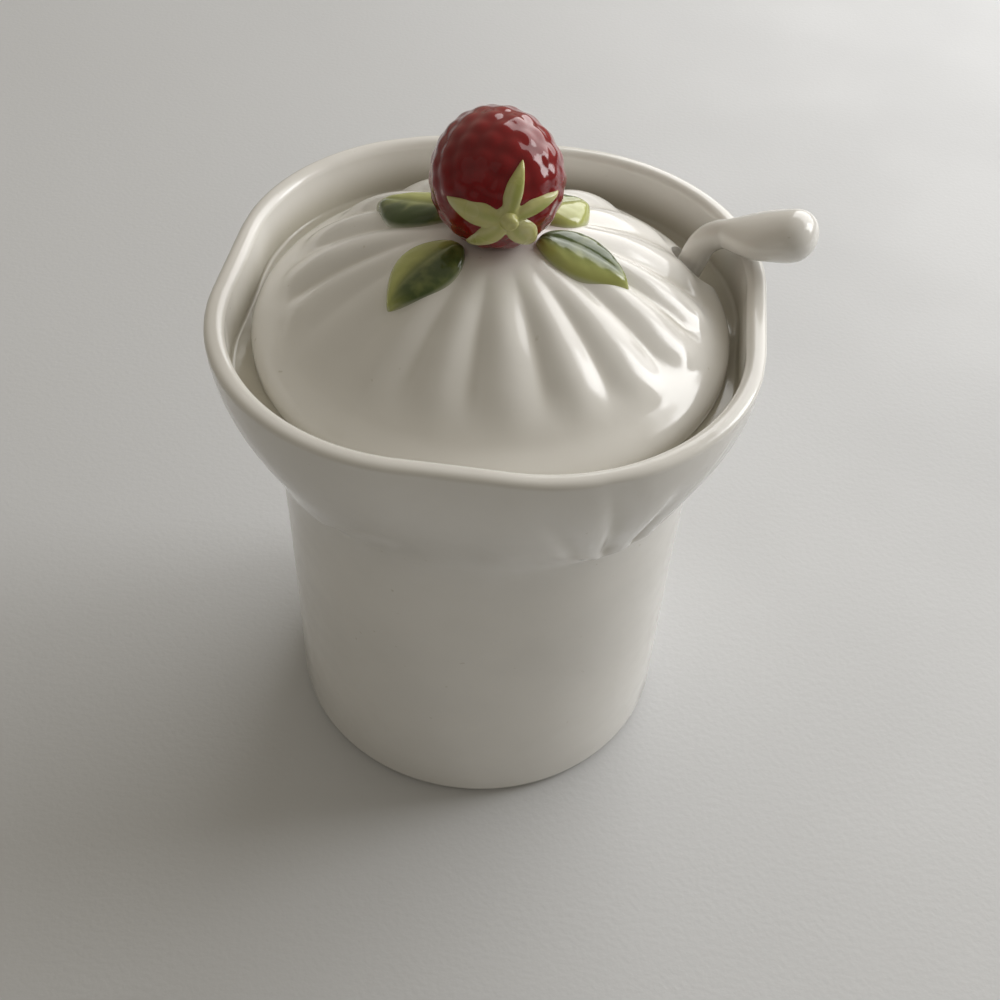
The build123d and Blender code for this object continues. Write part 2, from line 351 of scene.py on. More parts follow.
class Glaze:
    """A new material whose nodes are added one by one."""

    def __init__(self, name):
        self.material = bpy.data.materials.new(name)
        self.material.use_nodes = True
        self.tree = self.material.node_tree
        self.shader = self.tree.nodes["Principled BSDF"]
        self.place = self.node("ShaderNodeTexCoord").outputs["Object"]

    def node(self, kind, inputs=(), **settings):
        """A new node with its settings, and its inputs linked or set."""
        node = self.tree.nodes.new(kind)
        for key, value in settings.items():
            setattr(node, key, value)
        for key, value in dict(inputs).items():
            if isinstance(value, bpy.types.NodeSocket):
                self.tree.links.new(value, node.inputs[key])
            else:
                node.inputs[key].default_value = value
        return node

    def noise(self, scale, detail):
        """A cloudy pattern over the piece."""
        inputs = {"Vector": self.place, "Scale": scale, "Detail": detail}
        return self.node("ShaderNodeTexNoise", inputs).outputs["Fac"]

    def spread(self, value, low, high, to_low=0.0, to_high=1.0):
        """Spread a part of a value's range softly over another range."""
        inputs = {"Value": value, "From Min": low, "From Max": high, "To Min": to_low, "To Max": to_high}
        return self.node("ShaderNodeMapRange", inputs, interpolation_type="SMOOTHSTEP").outputs["Result"]

    def reckon(self, operation, *values):
        """One sum of up to three values."""
        return self.node("ShaderNodeMath", dict(enumerate(values)), operation=operation).outputs[0]

    def mix(self, share, first, second):
        """A colour between two others."""
        node = self.node("ShaderNodeMix", data_type="RGBA")
        for socket, value in zip((node.inputs[0], node.inputs[6], node.inputs[7]), (share, first, second)):
            if isinstance(value, bpy.types.NodeSocket):
                self.tree.links.new(value, socket)
            else:
                socket.default_value = value if isinstance(value, float) else (*value, 1)
        return node.outputs[2]

    def attribute(self, name):
        """A value that the mesh carries."""
        return self.node("ShaderNodeAttribute", attribute_name=name).outputs["Fac"]

    def finish(self, base, roughness, height, depth):
        """Join colour, roughness and surface to the shader."""
        self.tree.links.new(base, self.shader.inputs["Base Color"])
        self.tree.links.new(roughness, self.shader.inputs["Roughness"])
        bump = self.node("ShaderNodeBump", {"Height": height, "Distance": depth, "Strength": 1.0})
        self.tree.links.new(bump.outputs["Normal"], self.shader.inputs["Normal"])
        self.shader.inputs["IOR"].default_value = GLAZE_IOR
        return self.material


def fired_white(glaze):
    """Warm white glaze: it is painted darker as shade in the folds and low at the ledge, clouds softly and
    has a few fine specks.
    """
    made = Glaze("fired_white")
    cloud = made.spread(made.noise(38, 3), 0.35, 0.7)
    pale = [min(1, part * 1.06) for part in glaze.white]
    base = made.mix(cloud, glaze.white, pale)
    # Painted shade: the white darkens in the folds of the pleats and gathers and low at the ledge
    base = made.mix(made.spread(made.attribute("fold"), 0.1, 1.0, 0.0, 0.8), base, glaze.white_fold)
    # The glaze's own fine specks, in the same darker colour as the painted shade
    speck = made.spread(made.noise(620, 1), 0.76, 0.82, 0.0, 0.4)
    base = made.mix(speck, base, glaze.white_fold)
    roughness = made.spread(made.noise(55, 2), 0.3, 0.7, 0.07, 0.17)
    return made.finish(base, roughness, made.noise(110, 2), 0.00016)


def fired_berry(glaze):
    """Deep crimson glaze with painted shade in the creases between the bumps."""
    made = Glaze("fired_berry")
    # Painted shade: the crimson darkens in the creases between the bumps
    crease = made.spread(made.attribute("crease"), 0.2, 1.0, 0.0, 0.8)
    base = made.mix(crease, glaze.berry, glaze.berry_crease)
    bright = [min(1, part * 1.35) for part in glaze.berry]
    base = made.mix(made.spread(made.noise(90, 2), 0.4, 0.8, 0.0, 0.6), base, bright)
    roughness = made.spread(made.noise(160, 2), 0.3, 0.7, 0.05, 0.11)
    made.shader.inputs["Specular IOR Level"].default_value = BERRY_SHINE
    return made.finish(base, roughness, made.noise(240, 2), 0.00006)


def fired_sepal(glaze):
    """Patchy pale green glaze with an olive rib along each sepal."""
    made = Glaze("fired_sepal")
    patchy = made.spread(made.noise(330, 3), 0.3, 0.75)
    pale = [part * 0.8 + 0.12 for part in glaze.sepal]
    base = made.mix(patchy, glaze.sepal, pale)
    green = made.reckon("MULTIPLY", made.attribute("rib"), made.noise(210, 2))
    base = made.mix(made.spread(green, 0.15, 0.6, 0.0, 0.75), base, glaze.sepal_rib)
    roughness = made.spread(made.noise(200, 2), 0.3, 0.7, 0.14, 0.3)
    return made.finish(base, roughness, made.noise(500, 2), 0.0001)


def fired_leaf(glaze):
    """Two-tone leaf glaze: one half pale, one deep, a rib between them and whitish edges."""
    made = Glaze("fired_leaf")
    unrolled = made.node("ShaderNodeUVMap", uv_map="leaf").outputs["UV"]
    way = made.node("ShaderNodeSeparateXYZ", {"Vector": unrolled})
    across, along = way.outputs["Y"], way.outputs["X"]
    wander = made.noise(180, 3)
    shifted = made.reckon("MULTIPLY_ADD", wander, 0.16, across)
    half = made.spread(shifted, 0.46, 0.72)
    deep = made.reckon("MULTIPLY", half, made.spread(along, 0.97, 0.68))
    base = made.mix(deep, glaze.leaf_light, glaze.leaf_dark)
    cloud = made.spread(made.noise(260, 3), 0.45, 0.8, 0.0, 0.3)
    base = made.mix(cloud, base, [part * 1.25 for part in glaze.leaf_light])
    pale = [part * 0.35 + 0.46 for part in glaze.leaf_light]
    edge = made.spread(made.attribute("edge"), 0.5, 1.0, 0.0, 0.9)
    base = made.mix(edge, base, pale)
    rib = made.spread(made.attribute("rib"), 0.3, 1.0, 0.0, 0.35)
    base = made.mix(rib, base, glaze.leaf_dark)
    roughness = made.spread(along, 0.0, 1.0, 0.08, 0.14)
    return made.finish(base, roughness, made.noise(300, 2), 0.00014)


def glaze_of(context, make):
    """The material of that name, made once."""
    return bpy.data.materials.get(make.__name__) or make(context.scene.jam_pot.glaze)


# The pieces


# The pleats: the shares of the pitch that a steep and a sloping side take, where they die out to
# the sides, and the one corner that stays smooth
PLEAT_STEEP = 0.15
PLEAT_SLOPE = 0.30
PLEAT_FULL = math.radians(13)
PLEAT_NONE = math.radians(19)
SMOOTH_CORNER = math.radians(-135)

# The lip under the flare: its rise at the flat sides, and the turn off a corner over which it grows
LIP_RISE = 0.009
LIP_SHARP = math.radians(8)
LIP_SOFT = math.radians(28)

# Painted shade on the white glaze: it is full at the depth of a full pleat, and fades out at this height over
# the ledge
SHADE_PLEAT_DEPTH = 0.0012
SHADE_LEDGE_HEIGHT = 0.004


def pleat(pot, z, angle):
    """The depth of the pleats under the mouth's corners: steep on one side and sloping on the other."""
    rise = (z - pot.neck_z) / (pot.rim_z - pot.neck_z)
    off = (angle % (math.pi / 2) - math.pi / 4 - pot.pleat_turn) / (1 + max(rise, 0))
    number = min(max(round(off / pot.pleat_pitch), -pot.pleat_reach), pot.pleat_reach)
    share = off / pot.pleat_pitch - number
    rise *= 1 + 0.2 * math.sin(2.1 * number + 1)
    depth = pot.pleat_depth * math.exp(-((share / (PLEAT_STEEP if share < 0 else PLEAT_SLOPE)) ** 2))
    smooth_side = ease(0.55, 0.95, math.cos(angle - SMOOTH_CORNER))
    fade = (1 - ease(0.3, 1.0, rise)) * (1 - ease(PLEAT_FULL, PLEAT_NONE, abs(off)))
    return depth * fade * ease(-0.05, 0.10, rise) * (1 - smooth_side)


class JAMPOT_OT_pot(bpy.types.Operator):
    """Build the round pot with its soft-square mouth, ledge and foot"""

    bl_idname = "jampot.pot"
    bl_label = "Pot"

    def execute(self, context):
        pot = context.scene.jam_pot.pot
        inside = pot.body_radius - pot.body_wall
        well = pot.rim_flat - pot.rim_wall
        bm = bmesh.new()
        start = pot.neck_z + 0.0016
        levels = [pot.neck_z - 0.014 + 0.002 * step for step in range(7)]
        levels += [pot.neck_z + 0.0002 * step for step in range(-6, 7)]
        levels += [start + (pot.rim_z - start) * step / 24 for step in range(25)]
        outside = [(pot.body_radius, 0.02), (pot.body_radius, 0.04)] + [(wall(pot, z), z) for z in levels]
        verts = profile_edges(bm, [
            (0, pot.foot_depth), (pot.foot_inside, pot.foot_depth), (pot.foot_inside, 0),
            (pot.body_radius, 0),
            *outside,
            (well, pot.rim_z), (well, pot.ledge_z), (pot.throat_radius, pot.ledge_z),
            (pot.throat_radius, pot.ledge_z - pot.throat_height), (inside, pot.neck_z),
            (inside, pot.floor_z), (0, pot.floor_z),
        ])
        rim = 3 + len(outside)
        round_corners(bm, [verts[3]], pot.foot_round, 6)
        round_corners(bm, [verts[1], verts[2]], 0.0005, 3)
        round_corners(bm, [verts[rim], verts[rim + 1]], pot.rim_round, 7)
        round_corners(bm, [verts[rim + 2], verts[rim + 3]], 0.0006, 4)
        round_corners(bm, [verts[rim + 4], verts[rim + 5]], 0.002, 4)
        round_corners(bm, [verts[rim + 6]], pot.floor_round, 8)
        turn_on_wheel(bm, 720)
        fold = bm.verts.layers.float.new("fold")
        for vert in bm.verts:
            x, y, z = vert.co
            radius, angle = math.hypot(x, y), math.atan2(y, x)
            flat, corner = mouth(pot, z)
            push = 0
            if z > pot.neck_z - 0.0012 and radius > wall(pot, z) - pot.rim_wall * 0.55:
                off = abs(angle % (math.pi / 2) - math.pi / 4)
                soft = LIP_RISE * ease(LIP_SHARP, LIP_SOFT, off)
                lip = ease(pot.neck_z - 0.0009, pot.neck_z + 0.0004 + soft, z)
                crease = pleat(pot, z, angle)
                # Painted shade in the pleats, full in a full pleat
                vert[fold] = crease / SHADE_PLEAT_DEPTH
                push = lip * (soft_square(flat, corner, angle) - flat - crease)
            elif z > pot.ledge_z - 0.0001 and radius > pot.throat_radius:
                share = min((radius - pot.throat_radius) / (well - pot.throat_radius), 1)
                push = share * (soft_square(pot.rim_flat, pot.rim_corner, angle) - pot.rim_flat)
                # Painted shade low in the mouth, at the ledge beside the lid
                vert[fold] = 1 - ease(pot.ledge_z, pot.ledge_z + SHADE_LEDGE_HEIGHT, z)
            if push:
                vert.co.xy *= (radius + push) / radius
        place("pot_body", to_mesh(bm, "pot_body"), glaze_of(context, fired_white), "pot", "white_glaze")
        return {"FINISHED"}


# The gathers: how sharp a fold is and the span of its wave, where the folds end and how far that
# wavers, the length of their fade and what the front adds to it, and the side where they are calm
FOLD_SHARP = 0.3
FOLD_SPAN = 0.744
FOLD_END = 0.0350
FOLD_WAVER = 0.0010
FOLD_FADE = 0.0036
FRONT_FADE = 0.0034
CALM_SIDE = math.radians(-143)


def gather(lid, radius, angle):
    """The height of the gathered cloth, from -1 in a fold to 1 on a ridge, and its strength."""
    uneven = angle - lid.gather_turn + 0.02 * math.sin(3 * angle + 1) + 0.012 * math.sin(7 * angle)
    wave = (math.hypot(math.sin(lid.gathers * uneven / 2), FOLD_SHARP) - FOLD_SHARP) / FOLD_SPAN
    front = max(0, -math.sin(angle))
    end = FOLD_END + FOLD_WAVER * wave - FOLD_WAVER * front
    strength = ease(0.008, 0.022, radius) * (1 - ease(end - FOLD_FADE - FRONT_FADE * front, end, radius))
    calm = 0.6 * ease(0.90, 1.0, math.cos(angle - CALM_SIDE)) + 0.2 * front
    return wave * 2 - 1, strength * (1 - calm) * (1 + 0.15 * math.sin(5 * angle + 2))


# The rolled edge of the lid: its width, its drop below the border's top and the pull of its curve
ROLL_WIDTH = 0.0050
ROLL_DROP = 0.0024
ROLL_PULL = 0.0023
CUTTER_REACH = 0.03  # how far the notch's cutter goes each way along the shaft


class JAMPOT_OT_lid(bpy.types.Operator):
    """Build the gathered lid with its border, flange and spoon notch"""

    bl_idname = "jampot.lid"
    bl_label = "Lid"

    def execute(self, context):
        settings = context.scene.jam_pot
        lid, pot, spoon = settings.lid, settings.pot, settings.spoon
        ball, middle = dome(lid)
        spring = middle + math.sqrt((ball - lid.wall) ** 2 - lid.flange_inside**2)
        bm = bmesh.new()
        centre = Vector((0, 0, middle))
        top = bm.verts.new((0, 0, middle + ball))
        roll = lid.radius - ROLL_WIDTH
        arc = bmesh.ops.spin(
            bm, geom=[top], axis=(0, 1, 0), cent=centre, angle=math.asin(roll / ball), steps=48,
        )["geom_last"]
        fall = Vector((roll, middle + math.sqrt(ball**2 - roll**2)))
        heading = Vector((fall.y - middle, -roll)).normalized()
        side = Vector((lid.radius, lid.border_top - ROLL_DROP))
        edge = interpolate_bezier(fall, fall + heading * ROLL_PULL, side + Vector((0, ROLL_PULL)), side, 12)
        verts = profile_edges(bm, [
            *[tuple(point) for point in edge], (lid.radius, pot.ledge_z),
            (lid.flange_radius, pot.ledge_z), (lid.flange_radius, lid.flange_z),
            (lid.flange_inside, lid.flange_z), (lid.flange_inside, spring),
        ])
        under = bmesh.ops.spin(
            bm, geom=[verts[-1]], axis=(0, -1, 0), cent=centre,
            angle=math.asin(lid.flange_inside / (ball - lid.wall)), steps=24,
        )["geom_last"]
        if not arc or not under:
            raise RuntimeError("The dome's outline could not be drawn")
        round_corners(bm, verts[-5:-1], 0.0005, 3)
        bmesh.ops.remove_doubles(bm, verts=bm.verts, dist=1e-6)
        turn_on_wheel(bm, 432)
        fold = bm.verts.layers.float.new("fold")
        for vert in bm.verts:
            radius = math.hypot(vert.co.x, vert.co.y)
            out = vert.co - centre
            on_dome = radius < roll + TOUCH and abs(out.length - ball) < TOUCH
            on_roll = radius >= roll + TOUCH and vert.co.z > side.y
            if on_dome or on_roll:
                height, strength = gather(lid, radius, math.atan2(vert.co.y, vert.co.x))
                vert.co += out.normalized() * (height * strength * lid.gather_depth / 2)
                # Painted shade in the valleys of the gathers
                vert[fold] = 0.5 * max(0, -height) * strength
        _, out, shaft, _, _, corner = spoon_lines(settings)
        side = UP.cross(out)
        across = side.cross(shaft)
        start = corner - shaft * ((corner.z - pot.ledge_z) / shaft.z)
        start += across * (lid.notch_width / 2 - spoon.shaft_radius - lid.notch_gap)
        cutter = bmesh.new()
        bmesh.ops.create_circle(cutter, cap_ends=True, radius=lid.notch_width / 2, segments=64)
        outer = [vert for vert in cutter.verts if vert.co.x > -1e-6]
        bmesh.ops.translate(cutter, vec=(lid.radius, 0, 0), verts=outer)
        bmesh.ops.translate(cutter, vec=(0, 0, -CUTTER_REACH), verts=cutter.verts)
        grown = bmesh.ops.extrude_face_region(cutter, geom=cutter.faces[:])["geom"]
        raised = [item for item in grown if isinstance(item, bmesh.types.BMVert)]
        bmesh.ops.translate(cutter, vec=(0, 0, 2 * CUTTER_REACH), verts=raised)
        bmesh.ops.transform(cutter, matrix=axes(across, side * -1, shaft, start), verts=cutter.verts)
        bmesh.ops.recalc_face_normals(cutter, faces=cutter.faces)
        mesh = cut_or_join(to_mesh(bm, "lid"), to_mesh(cutter, "notch"), "DIFFERENCE")
        mesh.set_sharp_from_angle(angle=math.radians(50))
        place("lid", mesh, glaze_of(context, fired_white), "lid", "white_glaze")
        return {"FINISHED"}


def berry_point(fruit, along, side, up):
    """A point on the smooth berry from a direction about its middle."""
    return along * (fruit.front if along > 0 else fruit.back), side * fruit.radius, up * fruit.radius


# The bumps: how sharply neighbours part, the flat of their tops, their fall, and the level of the skin
BUMP_PARTING = 6
BUMP_TOP = 0.08
BUMP_FALL = 0.40
SKIN_LEVEL = 0.75


class JAMPOT_OT_berry(bpy.types.Operator):
    """Build the bumpy berry knob"""

    bl_idname = "jampot.berry"
    bl_label = "Berry"

    def execute(self, context):
        settings = context.scene.jam_pot
        fruit = settings.fruit
        middle, way, side = berry_middle(settings)
        bumps = KDTree(fruit.bumps)
        for number in range(fruit.bumps):
            along = 1 - 2 * (number + 0.5) / fruit.bumps
            round_way = number * math.pi * (3 - math.sqrt(5))
            ring = math.sqrt(1 - along * along)
            bumps.insert((along, ring * math.cos(round_way), ring * math.sin(round_way)), number)
        bumps.balance()
        spacing = math.sqrt(4 * math.pi / fruit.bumps)
        bm = bmesh.new()
        bmesh.ops.create_icosphere(bm, subdivisions=6, radius=1)
        # How deep a point lies between the bumps: the mask for the painted shade
        crease = bm.verts.layers.float.new("crease")
        for vert in bm.verts:
            direction = vert.co.normalized()
            near = [found[2] / spacing for found in bumps.find_n(direction, 3)]
            soft = -math.log(sum(math.exp(-BUMP_PARTING * gap) for gap in near)) / BUMP_PARTING
            level = min(max(1 - (soft + BUMP_TOP) ** 2 / BUMP_FALL, 0), 1)
            vert[crease] = 1 - level
            shape = Vector(berry_point(fruit, *direction))
            shape += direction * (level - SKIN_LEVEL) * fruit.bump_height
            point = middle + way * shape.x + side * shape.y + Vector((0, 0, shape.z))
            point.z = max(point.z, lid_high[2])
            vert.co = point
        bmesh.ops.recalc_face_normals(bm, faces=bm.faces)
        place("berry", to_mesh(bm, "berry"), glaze_of(context, fired_berry), "lid", "berry_glaze")
        return {"FINISHED"}


# Each sepal: its turn in degrees, and its shares of the full length and width
SEPALS = ((11, 1.0, 0.66), (71, 0.95, 0.72), (170, 1.03, 1.0), (228, 1.0, 0.9), (303, 1.04, 1.1))
SEPAL_SINK = 0.0006  # how far the rim of the calyx dips under the berry's skin
HEART_RADIUS = 0.0024
MELT_SIZE = 0.00016  # the grain at which the sepals melt together


class JAMPOT_OT_calyx(bpy.types.Operator):
    """Build the calyx of five sepals and the stalk in its heart"""

    bl_idname = "jampot.calyx"
    bl_label = "Calyx and Stalk"

    def execute(self, context):
        settings = context.scene.jam_pot
        fruit = settings.fruit
        middle, way, side = berry_middle(settings)
        local = axes(side, Vector((0, 0, 1)), way, middle)

        def drape(across, up, proud):
            """A point on the front of the berry."""
            inner = 1 - (across**2 + up**2) / fruit.radius**2
            front = fruit.front * math.sqrt(max(inner, 0.02))
            point = Vector((across, up, front))
            steep = Vector((across / fruit.radius**2, up / fruit.radius**2, front / fruit.front**2))
            return point + steep.normalized() * proud

        bm = bmesh.new()
        for angle, long, wide in SEPALS:
            made = bmesh.ops.create_grid(bm, x_segments=30, y_segments=14, size=1)["verts"]
            heading = Matrix.Rotation(math.radians(angle), 2)
            for vert in made:
                along = (1 + math.sin(vert.co.x * math.pi / 2)) / 2
                aside = math.sin(vert.co.y * math.pi / 2)
                half = fruit.sepal_width / 2 * wide * math.sin(math.pi * along**0.85) ** 0.9
                bow = 0.0004 * math.sin(3 * along)
                flat = heading @ Vector((along * fruit.sepal_length * long, aside * half + bow))
                crown = math.sqrt(max(1 - aside**4, 0)) * math.sqrt(max(1 - (2 * along - 1) ** 6, 0))
                vert.co = drape(*flat, (fruit.sepal_thickness * 0.7 + SEPAL_SINK) * crown - SEPAL_SINK)
        heart = bmesh.ops.create_grid(bm, x_segments=14, y_segments=14, size=1)["verts"]
        for vert in heart:
            share = max(abs(vert.co.x), abs(vert.co.y))
            reach = vert.co.xy.normalized() * share * HEART_RADIUS
            rise = math.sqrt(max(1 - share**4, 0))
            vert.co = drape(*reach, (fruit.sepal_thickness * 0.8 + SEPAL_SINK) * rise - SEPAL_SINK)
        bmesh.ops.holes_fill(bm, edges=[item for item in bm.edges if item.is_boundary], sides=0)
        bmesh.ops.recalc_face_normals(bm, faces=bm.faces)
        work = bpy.data.objects.new("work", to_mesh(bm, "calyx"))
        context.scene.collection.objects.link(work)
        remesh = work.modifiers.new("melt", "REMESH")
        remesh.mode, remesh.voxel_size = "VOXEL", MELT_SIZE
        soften = work.modifiers.new("soften", "SMOOTH")
        soften.factor, soften.iterations = 0.5, 4
        context.view_layer.update()
        melted = bpy.data.meshes.new_from_object(work.evaluated_get(context.evaluated_depsgraph_get()))
        bpy.data.objects.remove(work)
        bm = bmesh.new()
        bm.from_mesh(melted)
        rib = bm.verts.layers.float.new("rib")
        for vert in bm.verts:
            heading, reach = math.atan2(vert.co.y, vert.co.x), vert.co.xy.length
            turns = [heading - math.radians(angle) for angle, *_ in SEPALS]
            off = min(abs((turned + math.pi) % (2 * math.pi) - math.pi) for turned in turns)
            vert[rib] = math.exp(-((off * reach / 0.0009) ** 2)) * (1 - ease(0.0055, 0.0082, reach))
        bmesh.ops.transform(bm, matrix=local, verts=bm.verts)
        place("calyx", to_mesh(bm, "calyx"), glaze_of(context, fired_sepal), "lid", "sepal_glaze")

        bm = bmesh.new()
        foot, heart_top = fruit.front - SEPAL_SINK, fruit.front + fruit.sepal_thickness
        tip = heart_top + fruit.stalk_length * 0.55
        verts = profile_edges(bm, [
            (0, foot), (fruit.stalk_radius * 1.1, foot), (fruit.stalk_radius * 0.75, heart_top),
            (fruit.stalk_radius * 0.6, tip), (0, tip - 0.0002),
        ])
        round_corners(bm, [verts[3]], 0.0008, 6)
        turn_on_wheel(bm, 40)
        for vert in bm.verts:
            bend = ease(fruit.front, tip, vert.co.z)
            vert.co.x += 0.0003 * bend
            vert.co.xy *= 1 + 0.06 * math.sin(3 * math.atan2(vert.co.y, vert.co.x) + 1) * bend
        bmesh.ops.transform(bm, matrix=local, verts=bm.verts)
        mesh = to_mesh(bm, "stalk")
        mesh.attributes.new("rib", "FLOAT", "POINT")
        place("stalk", mesh, glaze_of(context, fired_sepal), "lid", "sepal_glaze")
        return {"FINISHED"}


# Each leaf: its name, its turn in degrees, its share of the full length, its sway to the side and
# the shift of its deep half
LEAVES = (
    ("leaf_back_left", 153, 1.1, 0.0008, 0.0),
    ("leaf_front_left", -130, 0.97, -0.0010, 0.0),
    ("leaf_front_right", -12, 1.0, 0.0010, 0.16),
    ("leaf_back_right", 46, 0.84, 0.0, -0.06),
)
LEAF_SINK = 0.0010  # how far a leaf's edge dips under the dome
RIB_DEPTH = 0.00022
VEIN_DEPTH = 0.00005


class JAMPOT_OT_leaves(bpy.types.Operator):
    """Build the four leaves that lie on the dome round the berry"""

    bl_idname = "jampot.leaves"
    bl_label = "Leaves"

    def execute(self, context):
        for name, degrees, share, sway, deeper in LEAVES:
            mesh = self.leaf(context.scene.jam_pot, name, math.radians(degrees), share, sway, deeper)
            place(name, mesh, glaze_of(context, fired_leaf), "lid", "leaf_glaze")
        return {"FINISHED"}

    def leaf(self, settings, name, angle, share, sway, deeper):
        """One leaf: a pointed plate draped on the dome, with a rib, veins and thick round edges."""
        fruit = settings.fruit
        ball, middle = dome(settings.lid)
        heading = Matrix.Rotation(angle, 2)
        bm = bmesh.new()
        bmesh.ops.create_grid(bm, x_segments=64, y_segments=32, size=1)
        layers = bm.verts.layers.float
        edge, rib = layers.new("edge"), layers.new("rib")
        uv = bm.loops.layers.uv.new("leaf")
        for face in bm.faces:
            for loop in face.loops:
                loop[uv].uv = (loop.vert.co.x + 1) / 2, (loop.vert.co.y + 1) / 2 + deeper
        for vert in bm.verts:
            along = (1 + math.sin(vert.co.x * math.pi / 2)) / 2
            aside = math.sin(vert.co.y * math.pi / 2)
            half = fruit.leaf_width / 2 * math.sin(math.pi * along**0.88) ** 0.85
            reach = fruit.leaf_base + fruit.leaf_length * share * along
            flat = heading @ Vector((reach, aside * half + sway * math.sin(math.pi * along)))
            body = math.sqrt(max(1 - aside**4, 0)) * math.sqrt(max(1 - (2 * along - 1) ** 8, 0))
            groove = math.exp(-((aside / 0.12) ** 2)) * ease(1.0, 0.7, along)
            veins = (0.5 + 0.5 * math.cos(2 * math.pi * (5 * along - 1.5 * abs(aside)))) ** 2
            height = (fruit.leaf_thickness * 0.85 + LEAF_SINK) * body - LEAF_SINK
            height -= body * (RIB_DEPTH * groove + VEIN_DEPTH * veins * math.sin(math.pi * abs(aside)))
            vert[edge] = max(abs(aside) ** 6, abs(2 * along - 1) ** 12)
            vert[rib] = groove
            vert.co = (*flat, middle + math.sqrt((ball + height) ** 2 - flat.length_squared))
        bmesh.ops.remove_doubles(bm, verts=bm.verts, dist=2e-6)
        bmesh.ops.holes_fill(bm, edges=[item for item in bm.edges if item.is_boundary], sides=0)
        bmesh.ops.recalc_face_normals(bm, faces=bm.faces)
        return to_mesh(bm, name)


SHAFT_STATIONS = (0.0285, 0.045, 0.07)  # rings of the straight shaft, measured from the bowl's tip
BEND_STEPS = 12
HANDLE_STEPS = 14
CAP_STEPS = 10


class JAMPOT_OT_spoon(bpy.types.Operator):
    """Build the spoon with its oval bowl, slim shaft and stout handle"""

    bl_idname = "jampot.spoon"
    bl_label = "Spoon"

    def execute(self, context):
        settings = context.scene.jam_pot
        pot, spoon = settings.pot, settings.spoon
        lean, _, shaft, handle, hook, corner = spoon_lines(settings)
        side = hook.cross(shaft)
        depth, width = spoon.bowl_depth, spoon.bowl_width
        egg = (width**2 / (4 * depth) + depth) / 2
        inset, long_half = egg - depth, spoon.bowl_length * egg / width
        drop = math.hypot(long_half * math.cos(lean), egg * math.sin(lean))
        rise = spoon.bowl_length / 2 * shaft.z - inset * hook.z
        shaft_length = (corner.z - pot.floor_z - spoon.gap - drop + rise) / shaft.z
        tip = corner - shaft * shaft_length
        turned = shaft.angle(handle)
        trim = spoon.bend * math.tan(turned / 2)

        bm = bmesh.new()
        centre = tip + shaft * (spoon.bowl_length / 2) - hook * inset
        shape = axes(hook * egg, side * egg, shaft * long_half, centre)
        bmesh.ops.create_uvsphere(bm, u_segments=96, v_segments=48, radius=1, matrix=shape)
        bmesh.ops.bisect_plane(
            bm, geom=bm.verts[:] + bm.edges[:] + bm.faces[:], dist=1e-7, plane_co=tip, plane_no=hook,
            clear_inner=True,
        )
        bmesh.ops.recalc_face_normals(bm, faces=bm.faces)
        bmesh.ops.solidify(bm, geom=bm.faces[:], thickness=spoon.bowl_wall)
        bmesh.ops.recalc_face_normals(bm, faces=bm.faces)
        lip = [item for item in bm.edges if item.is_manifold and item.calc_face_angle() > math.radians(50)]
        bmesh.ops.bevel(
            bm, geom=lip, offset=0.0006, offset_type="OFFSET", segments=4, profile=0.5,
            affect="EDGES", material=-1,
        )
        bowl = to_mesh(bm, "spoon_bowl")

        bend_start = corner - shaft * trim
        pivot = bend_start + hook * spoon.bend
        slim = spoon.shaft_radius
        stations = [(tip + shaft * reach, shaft, slim, slim) for reach in SHAFT_STATIONS]
        for step in range(BEND_STEPS + 1):
            spin = Matrix.Rotation(-turned * step / BEND_STEPS, 3, side)
            stations.append((pivot + spin @ (bend_start - pivot), spin @ shaft, slim, slim))
        half_width, half_thickness = spoon.handle_width / 2, spoon.handle_thickness / 2
        cap_start = spoon.handle_length - half_thickness
        for step in range(1, HANDLE_STEPS + CAP_STEPS + 1):
            cap = max(step - HANDLE_STEPS, 0) / CAP_STEPS * math.pi / 2
            reach = trim + (cap_start - trim) * min(step / HANDLE_STEPS, 1) + half_thickness * math.sin(cap)
            share = (reach - trim) / (spoon.handle_length - trim)
            grow = math.sin(math.pi / 2 * share) ** 1.3
            broad = math.sin(math.pi / 2 * min(2 * share, 1))
            close = max(math.cos(cap), 0.001) ** 0.85
            wide = (slim + (half_width * 1.13 - slim) * broad) * (1 - 0.12 * ease(0.45, 1, share)) * close
            thick = (slim + (half_thickness - slim) * grow) * close
            stations.append((corner + handle * reach, handle, wide, thick))
        frames = [axes(*oval(side, way, wide, thick), way, point) for point, way, wide, thick in stations]
        bm = bmesh.new()
        bmesh.ops.create_circle(bm, cap_ends=True, radius=1, segments=40, matrix=frames[0])
        ring = bm.edges[:]
        for before, after in zip(frames, frames[1:]):
            made = bmesh.ops.extrude_edge_only(bm, edges=ring)["geom"]
            moved = {item for item in made if isinstance(item, bmesh.types.BMVert)}
            bmesh.ops.transform(bm, matrix=after @ before.inverted(), verts=list(moved))
            edges = [item for item in made if isinstance(item, bmesh.types.BMEdge)]
            ring = [item for item in edges if moved.issuperset(item.verts)]
        bmesh.ops.edgeloop_fill(bm, edges=ring)
        bmesh.ops.recalc_face_normals(bm, faces=bm.faces)
        mesh = cut_or_join(bowl, to_mesh(bm, "spoon_stem"), "UNION")
        # An empty mask: the spoon gets none of the white glaze's painted shade
        mesh.attributes.new("fold", "FLOAT", "POINT")
        mesh.set_sharp_from_angle(angle=math.radians(60))
        place("spoon", mesh, glaze_of(context, fired_white), "spoon", "white_glaze")
        return {"FINISHED"}


# The stage


LAMP_AIM = Vector((0, 0, 0.06))

# Each lamp: its name, place, width, height, power and tint
LAMPS = (
    ("window", (0.42, 0.53, 0.44), 1.05, 0.60, 5.3, (1.0, 1.0, 1.0)),
    ("pane", (0.63, 0.27, 0.38), 0.24, 0.36, 1.2, (1.0, 1.0, 1.0)),
    ("room", (-0.5, -0.7, 0.7), 0.9, 0.9, 0.3, (1.0, 0.95, 0.87)),
)


